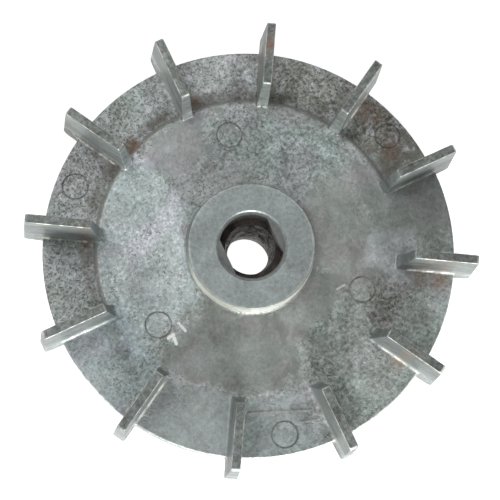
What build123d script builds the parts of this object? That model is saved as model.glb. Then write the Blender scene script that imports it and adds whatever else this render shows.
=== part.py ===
from build123d import *
import math
import os

# Magneto flywheel with integral cooling-fan vanes for a small engine.
# Frame: origin on the crankshaft axis in the plane of the skirt's open edge,
# +Z along the axis towards the fan side, +X along one vane and square to the
# two flats of the washer socket.  Millimetres.

# ---- Rim, web and skirt of the casting ---------------------------------------------------
rim_radius = 80.0
skirt_depth = 34.0            # open edge to the front plane of the flange
skirt_wall = 12.0
web_thickness = 6.5           # behind the front plane of the flange
rim_round = 0.8
open_edge_chamfer = 0.8
seam_angle = 7.5              # where the turned surfaces start, clear of vanes and marks

# ---- Raised disc inside the vanes --------------------------------------------------------
disc_radius = 58.9            # top edge of the step
disc_rise = 2.4
step_run = 1.8                # radial length of the sloping step
step_foot_round = 1.4
step_top_round = 1.6

# ---- Hub boss, fan side and rear ---------------------------------------------------------
hub_face_radius = 24.3
hub_rise = 10.1               # above the front plane of the flange
hub_draft = 5.0               # degrees
hub_foot_round = 1.3
hub_edge_round = 0.5
rear_boss_wall = 8.5          # round the bush
rear_boss_level = 12.0        # above the plane of the open edge
rear_boss_draft = 3.0         # degrees
rear_foot_round = 3.0

# ---- Vanes -------------------------------------------------------------------------------
vane_count = 12
vane_height = 23.5            # above the front plane of the flange
vane_foot_inset = 1.9         # inner end to the edge of the disc, at the flange plane
vane_inner_lean = 3.1         # how far the inner end leans outwards over its height
vane_top_reach = 4.5          # past the rim at the top
vane_heel_reach = 7.9         # past the rim at the lowest outer corner
vane_heel_drop = 6.3          # below the front plane of the flange
vane_toe_drop = 7.6           # where the underside meets the skirt
vane_top_width = 3.4
vane_foot_width = 4.7         # at the front plane of the flange
vane_top_round = 1.6          # outer top corner, seen from the side
vane_inner_round = 1.0
vane_heel_round = 2.2
vane_edge_round = 0.45
vane_fillet = 1.1             # at the foot

# ---- Counterweight: the flange's heavy side, level with the disc ------------------------
counterweight_first_vane = 6  # vanes are counted from +X, which is vane 0
counterweight_last_vane = 12

# ---- Ejector-pin marks -------------------------------------------------------------------
pin_mark_radius = 5.2
pin_mark_depth = 0.2
pin_ring_depth = 0.5          # groove round each mark
pin_ring_width = 0.5
outer_marks_inset = 7.9       # rim to the middle of an outer mark
inner_marks_radius = 46.0
outer_marks_angle = 15.0
inner_marks_angle = 75.0
marks_count = 3
small_mark_radius = 2.6
small_mark_circle = 55.2
small_mark_angle = 277.5

# ---- Lines left on the counterweight by the die's inserts ---------------------------------------
die_line_width = 0.8
die_line_height = 0.25
long_line_start = (-28.2, -56.6)
long_line_end = (-5.5, -65.9)
short_line_start = (-12.5, -67.9)
short_line_end = (-5.7, -69.9)

# ---- Washer socket in the hub face -------------------------------------------------------
mouth_step = 0.85             # radius of the mouth past the socket's
mouth_depth = 1.6
mouth_chamfer = 0.5
socket_radius = 12.4
socket_across_flats = 20.0
socket_corner_round = 0.5
socket_floor = 1.6            # above the front plane of the flange

# ---- Hub bush ----------------------------------------------------------------------------
bush_radius = 15.5
bush_end_gap = 2.0            # rear end of the bush to the plane of the open edge
taper_large_radius = 10.0
taper_length = 16.5
taper_ratio = 5.0             # length for each unit of diameter
throat_length = 5.0
relief_flare = 1.5            # radius of the relief's mouth past the throat's
bush_groove_depth = 1.0
bush_groove_width = 3.0
bush_groove_pitch = 6.0
bush_groove_count = 2
bush_chamfer = 0.5
keyway_width = 3.0
keyway_depth = 1.5

# ---- Return ring, magnets, pole shoes and their screws -----------------------------------
return_ring_wall = 5.5
return_ring_end_gap = 3.5     # to the plane of the open edge
return_ring_chamfer = 0.6
magnet_thickness = 8.5
magnet_end_margin = 2.0       # ring's end to the magnet's end
magnet_span = 54.0            # degrees
magnet_round = 0.8
magnet_count = 4
magnet_start_angle = 45.0
shoe_thickness = 4.0
shoe_span = 58.0              # degrees
shoe_chamfer = 0.5
seat_gap = 0.03               # between stacked pieces
screw_radius = 2.5
screw_head_radius = 4.7
screw_head_inset = 0.3        # below the crown of the pole shoe
screw_angle = 17.0            # degrees each side of a magnet's middle
screw_end_gap = 1.0           # from the screw's tip to the outside of the ring
screw_clearance = 0.25        # in the magnet and the pole shoe
thread_gap = 0.03             # round a screw in its thread
slot_width = 1.2
slot_depth = 1.3

# ---- Breaker cam -------------------------------------------------------------------------
cam_wall = 7.3                # round the bush
cam_flat_drop = 1.0           # cam radius to the dwell flat
cam_corner_round = 8.0
cam_length = 7.5
cam_fit = 0.03                # radial, on the bush
cam_chamfer = 0.4
cam_screw_radius = 1.5
cam_screw_head_radius = 2.8
cam_screw_head_inset = 0.2    # below the cam's rear face
cam_screw_reach = 6.0         # into the rear boss
cam_screw_count = 2
cam_screw_angle = 90.0
cam_slot_width = 0.8
cam_slot_depth = 0.8
cam_screw_clearance = 0.15

# ---- Balance drillings and timing mark at the open edge ----------------------------------
balance_radius = 3.0
balance_depth = 7.0
balance_first_angle = 200.0
balance_step_angle = 12.0
balance_count = 3
timing_mark_angle = 82.5
timing_mark_width = 0.8
timing_mark_depth = 0.6
timing_mark_length = 8.0

# ---- Levels and radii that follow --------------------------------------------------------
flange_level = skirt_depth
disc_level = flange_level + disc_rise
hub_level = flange_level + hub_rise
web_back_level = flange_level - web_thickness
rear_boss_radius = bush_radius + rear_boss_wall
socket_level = flange_level + socket_floor
skirt_bore_radius = rim_radius - skirt_wall
step_foot_radius = disc_radius + step_run
outer_marks_radius = rim_radius - outer_marks_inset
vane_pitch = 360 / vane_count
counterweight_start = counterweight_first_vane * vane_pitch
counterweight_end = counterweight_last_vane * vane_pitch
counterweight_span = counterweight_end - counterweight_start
hub_foot_radius = hub_face_radius + (hub_level - disc_level) * math.tan(math.radians(hub_draft))
rear_foot_radius = rear_boss_radius + (web_back_level - rear_boss_level) * math.tan(
    math.radians(rear_boss_draft)
)
mouth_radius = socket_radius + mouth_step
throat_radius = taper_large_radius - taper_length / (2 * taper_ratio)
bush_mouth_radius = throat_radius + relief_flare
taper_end_level = bush_end_gap + taper_length
relief_end_level = taper_end_level + throat_length
bush_middle_level = (rear_boss_level + socket_level) / 2
ring_inner_radius = skirt_bore_radius - return_ring_wall
return_ring_length = web_back_level - seat_gap - return_ring_end_gap
ring_middle_level = return_ring_end_gap + return_ring_length / 2
magnet_length = return_ring_length - 2 * magnet_end_margin
magnet_outer_radius = ring_inner_radius - seat_gap
magnet_inner_radius = magnet_outer_radius - magnet_thickness
shoe_outer_radius = magnet_inner_radius - seat_gap
shoe_inner_radius = shoe_outer_radius - shoe_thickness
screw_head_level = shoe_inner_radius + screw_head_inset
screw_length = skirt_bore_radius - screw_end_gap - screw_head_level
shoe_screw_hole = screw_radius + screw_clearance
cam_radius = bush_radius + cam_wall
cam_screw_circle = bush_radius + cam_wall / 2
cam_level = rear_boss_level - cam_length
cam_screw_level = cam_level + cam_screw_head_inset
cam_screw_length = rear_boss_level + cam_screw_reach - cam_screw_level
balance_circle = (rim_radius + skirt_bore_radius) / 2
magnet_step = 360.0 / magnet_count
magnet_angles = [magnet_start_angle + k * magnet_step for k in range(magnet_count)]
screw_angles = [a + side * screw_angle for a in magnet_angles for side in (-1, 1)]


def corner(section, radius, height):
    """The vertex of a section that lies nearest to a radius and a height."""
    return section.vertices().sort_by_distance(Vector(radius, height, 0))[0]


def face_level(radius, angle):
    """The level of the front face, off the hub, at a radius and an angle in degrees."""
    heavy_side = counterweight_start < angle % 360 < counterweight_end
    return disc_level if radius < disc_radius or heavy_side else flange_level


def ring_sector(outer_radius, inner_radius, span):
    """A sector of a flat ring, centred on +X."""
    with BuildSketch() as sector:
        with BuildLine():
            outer = CenterArc((0, 0), outer_radius, -span / 2, span)
            inner = CenterArc((0, 0), inner_radius, -span / 2, span)
            Line(outer @ 0, inner @ 0)
            Line(outer @ 1, inner @ 1)
        make_face()
    return sector.sketch


def facing_out(angle, radius, level):
    """The plane at a radius and a level that looks straight out from the axis."""
    out = Vector(1, 0, 0).rotate(Axis.Z, angle)
    return Plane(origin=out * radius + Vector(0, 0, level), x_dir=Vector(0, 0, 1), z_dir=out)


def countersunk_screw(radius, head_radius, length, slot_width, slot_depth):
    """A slotted countersunk screw: its head's face is at the origin and its shank runs along +Z."""
    land = 0.1 * head_radius
    with BuildPart() as screw:
        with BuildSketch(Plane.XZ):
            with BuildLine():
                Polyline(
                    (0, 0),
                    (head_radius, 0),
                    (head_radius, land),
                    (radius, land + head_radius - radius),
                    (radius, length - radius / 4),
                    (3 * radius / 4, length),
                    (0, length),
                    close=True,
                )
            make_face()
        revolve(axis=Axis.Z)
        with BuildSketch():
            Rectangle(3 * head_radius, slot_width)
        extrude(amount=slot_depth, mode=Mode.SUBTRACT)
    return screw.part


def screw_pocket(radius, head_radius, length, reach):
    """The room for a countersunk screw: a hole along +Z, its countersink, and a way in along -Z."""
    land = 0.1 * head_radius
    with BuildPart() as pocket:
        with BuildSketch(Plane.XZ):
            with BuildLine():
                Polyline(
                    (0, -reach),
                    (head_radius, -reach),
                    (head_radius, land),
                    (radius, land + head_radius - radius),
                    (radius, length),
                    (0, length),
                    close=True,
                )
            make_face()
        revolve(axis=Axis.Z)
    return pocket.part


os.makedirs("parts", exist_ok=True)

# ---- One vane, along +X ------------------------------------------------------------------
vane_top_level = flange_level + vane_height
vane_foot_inner = disc_radius - vane_foot_inset
vane_top_inner = vane_foot_inner + vane_inner_lean
vane_top_outer = rim_radius + vane_top_reach
vane_heel_outer = rim_radius + vane_heel_reach
vane_toe_level = flange_level - vane_toe_drop
vane_heel_level = flange_level - vane_heel_drop
vane_root_level = flange_level - web_thickness / 2
vane_flare = (vane_foot_width - vane_top_width) / vane_height    # width for each unit of depth
vane_rake = (vane_toe_drop - vane_heel_drop) / vane_heel_reach
vane_tail = (rim_radius - skirt_bore_radius) / 2                 # buried in the skirt's wall
vane_tail_level = vane_toe_level - vane_tail * vane_rake
vane_root_width = vane_top_width + vane_flare * (vane_top_level - vane_tail_level)
vane_root_inner = vane_top_inner - vane_inner_lean * (vane_top_level - vane_root_level) / vane_height

with BuildPart() as vane:
    with BuildSketch(Plane.YZ):
        with BuildLine():
            Polyline(
                (-vane_root_width / 2, vane_tail_level),
                (vane_root_width / 2, vane_tail_level),
                (vane_top_width / 2, vane_top_level),
                (-vane_top_width / 2, vane_top_level),
                close=True,
            )
        make_face()
    extrude(amount=vane_heel_outer)
    with BuildSketch(Plane.XZ) as vane_side:
        with BuildLine():
            Polyline(
                (vane_root_inner, vane_root_level),
                (vane_top_inner, vane_top_level),
                (vane_top_outer, vane_top_level),
                (vane_heel_outer, vane_heel_level),
                (rim_radius - vane_tail, vane_tail_level),
                (skirt_bore_radius, vane_root_level),
                close=True,
            )
        make_face()
        fillet(corner(vane_side, vane_top_outer, vane_top_level), vane_top_round)
        fillet(corner(vane_side, vane_heel_outer, vane_heel_level), vane_heel_round)
        fillet(corner(vane_side, vane_top_inner, vane_top_level), vane_inner_round)
    extrude(amount=vane_root_width, both=True, mode=Mode.INTERSECT)
    vane_sides = vane.faces().sort_by(SortBy.AREA)[-2:]
    fillet(vane_sides.edges(), vane_edge_round)

# ---- Hub bush: turned outside with anchoring grooves -------------------------------------
with BuildPart() as bush_blank:
    with BuildSketch(Plane.XZ) as bush_half:
        with BuildLine():
            Polyline(
                (0, bush_end_gap),
                (bush_radius, bush_end_gap),
                (bush_radius, socket_level),
                (0, socket_level),
                close=True,
            )
        make_face()
        chamfer(corner(bush_half, bush_radius, bush_end_gap), bush_chamfer)
        with Locations((bush_radius, bush_middle_level)):
            with GridLocations(0, bush_groove_pitch, 1, bush_groove_count):
                Rectangle(2 * bush_groove_depth, bush_groove_width, mode=Mode.SUBTRACT)
    revolve(axis=Axis.Z)

# ---- Fan casting: hub boss, raised disc, flange, skirt, rear boss and vanes --------------
with BuildPart() as fan_casting:
    with BuildSketch(Plane.XZ.rotated((0, 0, seam_angle))) as casting_half:
        with BuildLine():
            Polyline(
                (0, rear_boss_level),
                (rear_boss_radius, rear_boss_level),
                (rear_foot_radius, web_back_level),
                (skirt_bore_radius, web_back_level),
                (skirt_bore_radius, 0),
                (rim_radius, 0),
                (rim_radius, disc_level),
                (hub_foot_radius, disc_level),
                (hub_face_radius, hub_level),
                (0, hub_level),
                close=True,
            )
        make_face()
        fillet(corner(casting_half, rear_foot_radius, web_back_level), rear_foot_round)
        fillet(corner(casting_half, rim_radius, disc_level), rim_round)
        fillet(corner(casting_half, hub_foot_radius, disc_level), hub_foot_round)
        fillet(corner(casting_half, hub_face_radius, hub_level), hub_edge_round)
        chamfer(corner(casting_half, rim_radius, 0), open_edge_chamfer)
        chamfer(corner(casting_half, skirt_bore_radius, 0), open_edge_chamfer)
    revolve(axis=Axis.Z)

    # The flange is recessed below the disc, from the counterweight's last vane to its first.
    with BuildSketch(Plane.XZ.rotated((0, 0, counterweight_end))) as recess_section:
        with BuildLine():
            recess_outline = Polyline(
                (rim_radius + disc_rise, flange_level - rim_round),
                (rim_radius + disc_rise, disc_level + disc_rise),
                (disc_radius - step_foot_round - step_top_round, disc_level + disc_rise),
                (disc_radius - step_foot_round - step_top_round, disc_level),
                (disc_radius, disc_level),
                (step_foot_radius, flange_level),
                (rim_radius - rim_round, flange_level),
            )
            rim_edge = TangentArc(
                recess_outline @ 1, (rim_radius, flange_level - rim_round), tangent=recess_outline % 1
            )
            Line(rim_edge @ 1, recess_outline @ 0)
        make_face()
        fillet(corner(recess_section, step_foot_radius, flange_level), step_foot_round)
        fillet(corner(recess_section, disc_radius, disc_level), step_top_round)
    revolve(axis=Axis.Z, revolution_arc=360 - counterweight_span, mode=Mode.SUBTRACT)

    with PolarLocations(0, vane_count):
        add(vane.part)
    fillet(fan_casting.edges(Select.NEW), vane_fillet)

    # Cast round the bush, whose grooves lock it in.
    add(bush_blank.part, mode=Mode.SUBTRACT)

    # Washer socket with two flats, and the turned mouth above it.
    with BuildSketch(Plane.XY.offset(socket_level)) as socket:
        Circle(socket_radius)
        Rectangle(socket_across_flats, 2 * socket_radius, mode=Mode.INTERSECT)
        fillet(socket.vertices(), socket_corner_round)
    extrude(amount=hub_rise, mode=Mode.SUBTRACT)
    with BuildSketch(Plane.XZ):
        with BuildLine():
            Polyline(
                (0, hub_level - mouth_depth),
                (mouth_radius, hub_level - mouth_depth),
                (mouth_radius, hub_level - mouth_chamfer),
                (mouth_radius + mouth_chamfer, hub_level),
                (0, hub_level),
                close=True,
            )
        make_face()
    revolve(axis=Axis.Z, mode=Mode.SUBTRACT)

    # Ejector-pin marks: a shallow round mark with a groove round it.
    for circle, first_angle in (
        (outer_marks_radius, outer_marks_angle),
        (inner_marks_radius, inner_marks_angle),
    ):
        for mark in range(marks_count):
            angle = first_angle + mark * 360 / marks_count
            level = face_level(circle, angle)
            with BuildSketch(Plane.XY.offset(level)):
                with PolarLocations(circle, 1, start_angle=angle):
                    Circle(pin_mark_radius)
            extrude(amount=-pin_mark_depth, mode=Mode.SUBTRACT)
            with BuildSketch(Plane.XY.offset(level)):
                with PolarLocations(circle, 1, start_angle=angle):
                    Circle(pin_mark_radius)
                    Circle(pin_mark_radius - pin_ring_width, mode=Mode.SUBTRACT)
            extrude(amount=-pin_ring_depth, mode=Mode.SUBTRACT)
    with BuildSketch(Plane.XY.offset(disc_level)):
        with PolarLocations(small_mark_circle, 1, start_angle=small_mark_angle):
            Circle(small_mark_radius)
            Circle(small_mark_radius - pin_ring_width, mode=Mode.SUBTRACT)
    extrude(amount=-pin_mark_depth, mode=Mode.SUBTRACT)

    # Raised lines left by the die's inserts.
    for start, end in ((long_line_start, long_line_end), (short_line_start, short_line_end)):
        run = Vector(*end) - Vector(*start)
        middle = (Vector(*start) + Vector(*end)) / 2
        angle = math.degrees(math.atan2(run.Y, run.X))
        with BuildSketch(Plane.XY.offset(disc_level - die_line_height)):
            with Locations(Location((middle.X, middle.Y, 0), (0, 0, angle))):
                SlotOverall(run.length, die_line_width)
        extrude(amount=2 * die_line_height)

    # Tapped holes for the cam's screws, in the face of the rear boss.
    with BuildSketch(Plane.XY.offset(rear_boss_level)):
        with PolarLocations(cam_screw_circle, cam_screw_count, start_angle=cam_screw_angle):
            Circle(cam_screw_radius + thread_gap)
    extrude(amount=cam_screw_reach + cam_screw_radius, mode=Mode.SUBTRACT)

    # Balance drillings and the timing mark, at the open edge of the skirt.
    with BuildSketch():
        for k in range(balance_count):
            angle = balance_first_angle + k * balance_step_angle
            with PolarLocations(balance_circle, 1, start_angle=angle):
                Circle(balance_radius)
    extrude(amount=balance_depth, mode=Mode.SUBTRACT)
    with BuildSketch():
        with PolarLocations(rim_radius, 1, start_angle=timing_mark_angle):
            Rectangle(2 * timing_mark_depth, timing_mark_width)
    extrude(amount=timing_mark_length, mode=Mode.SUBTRACT)

fan_casting.part.label = "fan_casting"
export_step(fan_casting.part, "parts/fan_casting.step")

# ---- Hub bush: relief, throat land, 1:5 taper and Woodruff keyway ------------------------
with BuildPart() as hub_bush:
    add(bush_blank.part)
    with BuildSketch(Plane.XZ):
        with BuildLine():
            Polyline(
                (0, bush_end_gap),
                (taper_large_radius, bush_end_gap),
                (throat_radius, taper_end_level),
                (throat_radius, relief_end_level),
                (bush_mouth_radius, socket_level),
                (0, socket_level),
                close=True,
            )
        make_face()
    revolve(axis=Axis.Z, mode=Mode.SUBTRACT)
    with BuildSketch(Plane.XY.offset(bush_end_gap)):
        with Locations((-(taper_large_radius + keyway_depth) / 2, 0)):
            Rectangle(taper_large_radius + keyway_depth, keyway_width)
    extrude(amount=taper_length, mode=Mode.SUBTRACT)
hub_bush.part.label = "hub_bush"
export_step(hub_bush.part, "parts/hub_bush.step")

# ---- Return ring, with its eight tapped holes --------------------------------------------
with BuildPart() as return_ring:
    with BuildSketch(Plane.XY.offset(ring_middle_level)):
        Circle(skirt_bore_radius)
        Circle(ring_inner_radius, mode=Mode.SUBTRACT)
    extrude(amount=return_ring_length / 2, both=True)
    chamfer(return_ring.edges().filter_by(GeomType.CIRCLE), return_ring_chamfer)
    for angle in screw_angles:
        with BuildSketch(facing_out(angle, ring_inner_radius / 2, ring_middle_level)):
            Circle(screw_radius + thread_gap)
        extrude(amount=skirt_bore_radius, mode=Mode.SUBTRACT)
return_ring.part.label = "return_ring"
export_step(return_ring.part, "parts/return_ring.step")

# ---- Magnets, each a curved block with clearance holes for two screws --------------------
magnet_face = ring_sector(magnet_outer_radius, magnet_inner_radius, magnet_span)
with BuildPart() as magnet_blank:
    with BuildSketch(Plane.XY.offset(ring_middle_level)):
        add(magnet_face)
    extrude(amount=magnet_length / 2, both=True)
    fillet(magnet_blank.edges().filter_by(Axis.Z), magnet_round)
    for side in (-1, 1):
        with BuildSketch(facing_out(side * screw_angle, magnet_inner_radius / 2, ring_middle_level)):
            Circle(shoe_screw_hole)
        extrude(amount=skirt_bore_radius, mode=Mode.SUBTRACT)

# ---- Pole shoes, with countersinks -------------------------------------------------------
shoe_face = ring_sector(shoe_outer_radius, shoe_inner_radius, shoe_span)
shoe_pocket = screw_pocket(
    shoe_screw_hole, screw_head_radius + seat_gap + screw_clearance, screw_length, shoe_thickness
)
with BuildPart() as shoe_blank:
    with BuildSketch(Plane.XY.offset(ring_middle_level)):
        add(shoe_face)
    extrude(amount=magnet_length / 2, both=True)
    chamfer(shoe_blank.edges().filter_by(Axis.Z), shoe_chamfer)
    for side in (-1, 1):
        with Locations(facing_out(side * screw_angle, screw_head_level - seat_gap, ring_middle_level)):
            add(shoe_pocket, mode=Mode.SUBTRACT)

for k, angle in enumerate(magnet_angles, start=1):
    with BuildPart() as magnet:
        with Locations(Location((0, 0, 0), (0, 0, angle))):
            add(magnet_blank.part)
    magnet.part.label = f"magnet_{k}"
    export_step(magnet.part, f"parts/magnet_{k}.step")

    with BuildPart() as pole_shoe:
        with Locations(Location((0, 0, 0), (0, 0, angle))):
            add(shoe_blank.part)
    pole_shoe.part.label = f"pole_shoe_{k}"
    export_step(pole_shoe.part, f"parts/pole_shoe_{k}.step")

# ---- Pole screws, through shoe and magnet into the return ring ---------------------------
pole_screw_blank = countersunk_screw(
    screw_radius, screw_head_radius, screw_length, slot_width, slot_depth
)
for k, angle in enumerate(screw_angles, start=1):
    with BuildPart() as pole_screw:
        with Locations(facing_out(angle, screw_head_level, ring_middle_level)):
            add(pole_screw_blank)
    pole_screw.part.label = f"pole_screw_{k}"
    export_step(pole_screw.part, f"parts/pole_screw_{k}.step")

# ---- Breaker cam on the rear end of the bush ---------------------------------------------
cam_pocket = screw_pocket(
    cam_screw_radius + cam_screw_clearance,
    cam_screw_head_radius + cam_screw_clearance,
    cam_screw_length,
    cam_length,
)
with BuildPart() as points_cam:
    with BuildSketch(Plane.XY.offset(cam_level)) as cam_face:
        Circle(cam_radius)
        with Locations((cam_flat_drop, 0)):
            Rectangle(2 * cam_radius, 2 * cam_radius, mode=Mode.INTERSECT)
        fillet(cam_face.vertices(), cam_corner_round)
    extrude(amount=cam_length)
    chamfer(points_cam.edges().group_by(Axis.Z)[0], cam_chamfer)
    with BuildSketch(Plane.XY.offset(cam_level)):
        Circle(bush_radius + cam_fit)
    extrude(amount=cam_length, mode=Mode.SUBTRACT)
    with PolarLocations(cam_screw_circle, cam_screw_count, start_angle=cam_screw_angle):
        with Locations((0, 0, cam_screw_level)):
            add(cam_pocket, mode=Mode.SUBTRACT)
points_cam.part.label = "points_cam"
export_step(points_cam.part, "parts/points_cam.step")

cam_screw_blank = countersunk_screw(
    cam_screw_radius, cam_screw_head_radius, cam_screw_length, cam_slot_width, cam_slot_depth
)
for k in range(cam_screw_count):
    angle = cam_screw_angle + k * 360.0 / cam_screw_count
    with BuildPart() as cam_screw:
        with PolarLocations(cam_screw_circle, 1, start_angle=angle):
            with Locations((0, 0, cam_screw_level)):
                add(cam_screw_blank)
    cam_screw.part.label = f"cam_screw_{k + 1}"
    export_step(cam_screw.part, f"parts/cam_screw_{k + 1}.step")
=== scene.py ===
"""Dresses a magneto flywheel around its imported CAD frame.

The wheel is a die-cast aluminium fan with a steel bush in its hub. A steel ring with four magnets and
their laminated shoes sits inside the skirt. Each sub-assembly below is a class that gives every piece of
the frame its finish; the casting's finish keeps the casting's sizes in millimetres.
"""

import logging
import math
from dataclasses import dataclass, field
from enum import Enum
from typing import Optional

import bpy
from mathutils import Matrix, Vector

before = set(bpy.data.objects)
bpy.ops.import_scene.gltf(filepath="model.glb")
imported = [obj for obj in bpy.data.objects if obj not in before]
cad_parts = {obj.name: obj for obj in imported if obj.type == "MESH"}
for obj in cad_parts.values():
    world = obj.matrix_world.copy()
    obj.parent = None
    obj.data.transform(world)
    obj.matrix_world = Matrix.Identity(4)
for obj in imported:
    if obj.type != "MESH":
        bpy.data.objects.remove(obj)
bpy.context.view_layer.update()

MM = 0.001
Socket = bpy.types.NodeSocket
Colour = tuple[float, float, float]

log = logging.getLogger("flywheel")


class Blend(Enum):
    """How one colour is laid over another."""

    MIX = "MIX"
    MULTIPLY = "MULTIPLY"


def linear(red: int, green: int, blue: int) -> Colour:
    """Turns a colour as a swatch names it into the linear values that a shader takes.

    Args:
        red: Red, 0 to 255.
        green: Green, 0 to 255.
        blue: Blue, 0 to 255.

    Returns:
        The three linear values, 0 to 1.
    """

    def decode(value: float) -> float:
        """Undoes the display curve for one channel."""
        return value / 12.92 if value <= 0.04045 else ((value + 0.055) / 1.055) ** 2.4

    return decode(red / 255), decode(green / 255), decode(blue / 255)


class Recipe:
    """A material's node tree, with short methods for the nodes that the finishes share.

    Lengths are in millimetres: the object's coordinates are scaled up once, where they enter.
    """

    def __init__(self, name: str) -> None:
        """Starts an empty material with one shader.

        Args:
            name: The material's name.
        """
        self.material = bpy.data.materials.new(name)
        self.material.use_nodes = True
        self.tree = self.material.node_tree
        self.tree.nodes.clear()
        self.shader = self.tree.nodes.new("ShaderNodeBsdfPrincipled")
        output = self.tree.nodes.new("ShaderNodeOutputMaterial")
        self.tree.links.new(self.shader.outputs["BSDF"], output.inputs["Surface"])
        self.coordinates = self.tree.nodes.new("ShaderNodeTexCoord")
        scaled = self.tree.nodes.new("ShaderNodeMapping")
        scaled.inputs["Scale"].default_value = (1 / MM, 1 / MM, 1 / MM)
        self.tree.links.new(self.coordinates.outputs["Object"], scaled.inputs["Vector"])
        self.place = scaled.outputs["Vector"]
        self._split: Optional[dict[str, Socket]] = None

    def put(self, socket: Socket, value: "Socket | float | Colour") -> None:
        """Links a socket to another, or sets its value.

        Args:
            socket: The input that is set.
            value: The output, number or colour that goes into it.
        """
        if isinstance(value, bpy.types.NodeSocket):
            self.tree.links.new(value, socket)
        elif isinstance(value, tuple) and len(socket.default_value) == 4:
            socket.default_value = (*value, 1.0)
        else:
            socket.default_value = value

    def part(self, name: str) -> Socket:
        """Gives the x, y or z of the place on the object."""
        if self._split is None:
            node = self.tree.nodes.new("ShaderNodeSeparateXYZ")
            self.tree.links.new(self.place, node.inputs[0])
            self._split = {axis: node.outputs[axis.upper()] for axis in "xyz"}
        return self._split[name]

    def facing(self, axis: str) -> Socket:
        """Gives one component of the surface's outward direction."""
        node = self.tree.nodes.new("ShaderNodeSeparateXYZ")
        self.tree.links.new(self.coordinates.outputs["Normal"], node.inputs[0])
        return node.outputs[axis.upper()]

    def math(self, operation: str, *values: "Socket | float") -> Socket:
        """Works out one value from others.

        Args:
            operation: The Math node's operation.
            *values: Its inputs, in order.

        Returns:
            The result.
        """
        node = self.tree.nodes.new("ShaderNodeMath")
        node.operation = operation
        for socket, value in zip(node.inputs, values):
            self.put(socket, value)
        return node.outputs[0]

    def mul(self, *values: "Socket | float") -> Socket:
        """Multiplies values together."""
        result = values[0]
        for value in values[1:]:
            result = self.math("MULTIPLY", result, value)
        return result

    def add(self, *values: "Socket | float") -> Socket:
        """Adds values together."""
        result = values[0]
        for value in values[1:]:
            result = self.math("ADD", result, value)
        return result

    def either(self, *values: "Socket | float") -> Socket:
        """Takes the largest of several masks."""
        result = values[0]
        for value in values[1:]:
            result = self.math("MAXIMUM", result, value)
        return result

    def vector(self, x: Socket, y: Socket, z: Socket) -> Socket:
        """Puts three values together as coordinates.

        Args:
            x: The first.
            y: The second.
            z: The third.

        Returns:
            The coordinates.
        """
        node = self.tree.nodes.new("ShaderNodeCombineXYZ")
        for socket, value in zip(node.inputs, (x, y, z)):
            self.put(socket, value)
        return node.outputs[0]

    def gap(self, middle: tuple[float, float]) -> Socket:
        """Gives the distance from a line parallel to the axis, by its x and y."""
        legs = [self.math("SUBTRACT", self.part(axis), at) for axis, at in zip("xy", middle)]
        return self.math("SQRT", self.add(*[self.math("MULTIPLY", leg, leg) for leg in legs]))

    def stroke(self, start: tuple[float, float], end: tuple[float, float]) -> Socket:
        """Gives the distance from a stroke, seen along the axis.

        Args:
            start: The x and y where the stroke starts.
            end: The x and y where it ends.

        Returns:
            The distance to the nearest point of the stroke.
        """
        run = (end[0] - start[0], end[1] - start[1])
        legs = [self.math("SUBTRACT", self.part(axis), at) for axis, at in zip("xy", start)]
        share = self.add(self.mul(legs[0], run[0]), self.mul(legs[1], run[1]))
        share = self.math("DIVIDE", share, run[0] ** 2 + run[1] ** 2)
        share = self.math("MINIMUM", self.math("MAXIMUM", share, 0.0), 1.0)
        rest = [self.math("SUBTRACT", leg, self.mul(share, step)) for leg, step in zip(legs, run)]
        return self.math("SQRT", self.add(*[self.math("MULTIPLY", leg, leg) for leg in rest]))

    def apart(self, value: Socket, middle: "Socket | float") -> Socket:
        """Gives how far a value is from a middle one."""
        return self.math("ABSOLUTE", self.math("SUBTRACT", value, middle))

    def centred(self, value: Socket) -> Socket:
        """Moves a value of 0 to 1 down, so that it lies about 0."""
        return self.math("SUBTRACT", value, 0.5)

    def radius(self) -> Socket:
        """Gives the distance from the wheel's axis."""
        squares = [self.math("MULTIPLY", self.part(axis), self.part(axis)) for axis in "xy"]
        return self.math("SQRT", self.add(*squares))

    def angle(self) -> Socket:
        """Gives the angle round the axis, in radians."""
        return self.math("ARCTAN2", self.part("y"), self.part("x"))

    def fade(self, value: Socket, start: float, end: float) -> Socket:
        """Goes smoothly from 0 to 1 as a value goes from start to end.

        Args:
            value: The value.
            start: Where the result is 0.
            end: Where the result is 1; it may be less than start.

        Returns:
            The mask.
        """
        node = self.tree.nodes.new("ShaderNodeMapRange")
        node.interpolation_type = "SMOOTHSTEP"
        self.put(node.inputs["Value"], value)
        low, high = (0.0, 1.0) if start < end else (1.0, 0.0)
        node.inputs["From Min"].default_value = min(start, end)
        node.inputs["From Max"].default_value = max(start, end)
        node.inputs["To Min"].default_value = low
        node.inputs["To Max"].default_value = high
        return node.outputs["Result"]

    def scale(self, value: Socket, low: float, high: float) -> Socket:
        """Spreads a value of 0 to 1 over another range.

        Args:
            value: The value.
            low: The result for 0.
            high: The result for 1.

        Returns:
            The result.
        """
        node = self.tree.nodes.new("ShaderNodeMapRange")
        self.put(node.inputs["Value"], value)
        node.inputs["To Min"].default_value = low
        node.inputs["To Max"].default_value = high
        return node.outputs["Result"]

    def moved(self, seed: float, where: Optional[Socket] = None) -> Socket:
        """Shifts coordinates by a seed, so that patterns of one size differ.

        Args:
            seed: How far they are shifted.
            where: The coordinates, if not the object's own.

        Returns:
            The shifted coordinates.
        """
        node = self.tree.nodes.new("ShaderNodeVectorMath")
        node.operation = "ADD"
        self.put(node.inputs[0], where or self.place)
        node.inputs[1].default_value = (seed * 71.3, seed * 37.9, seed * 53.1)
        return node.outputs["Vector"]

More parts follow.
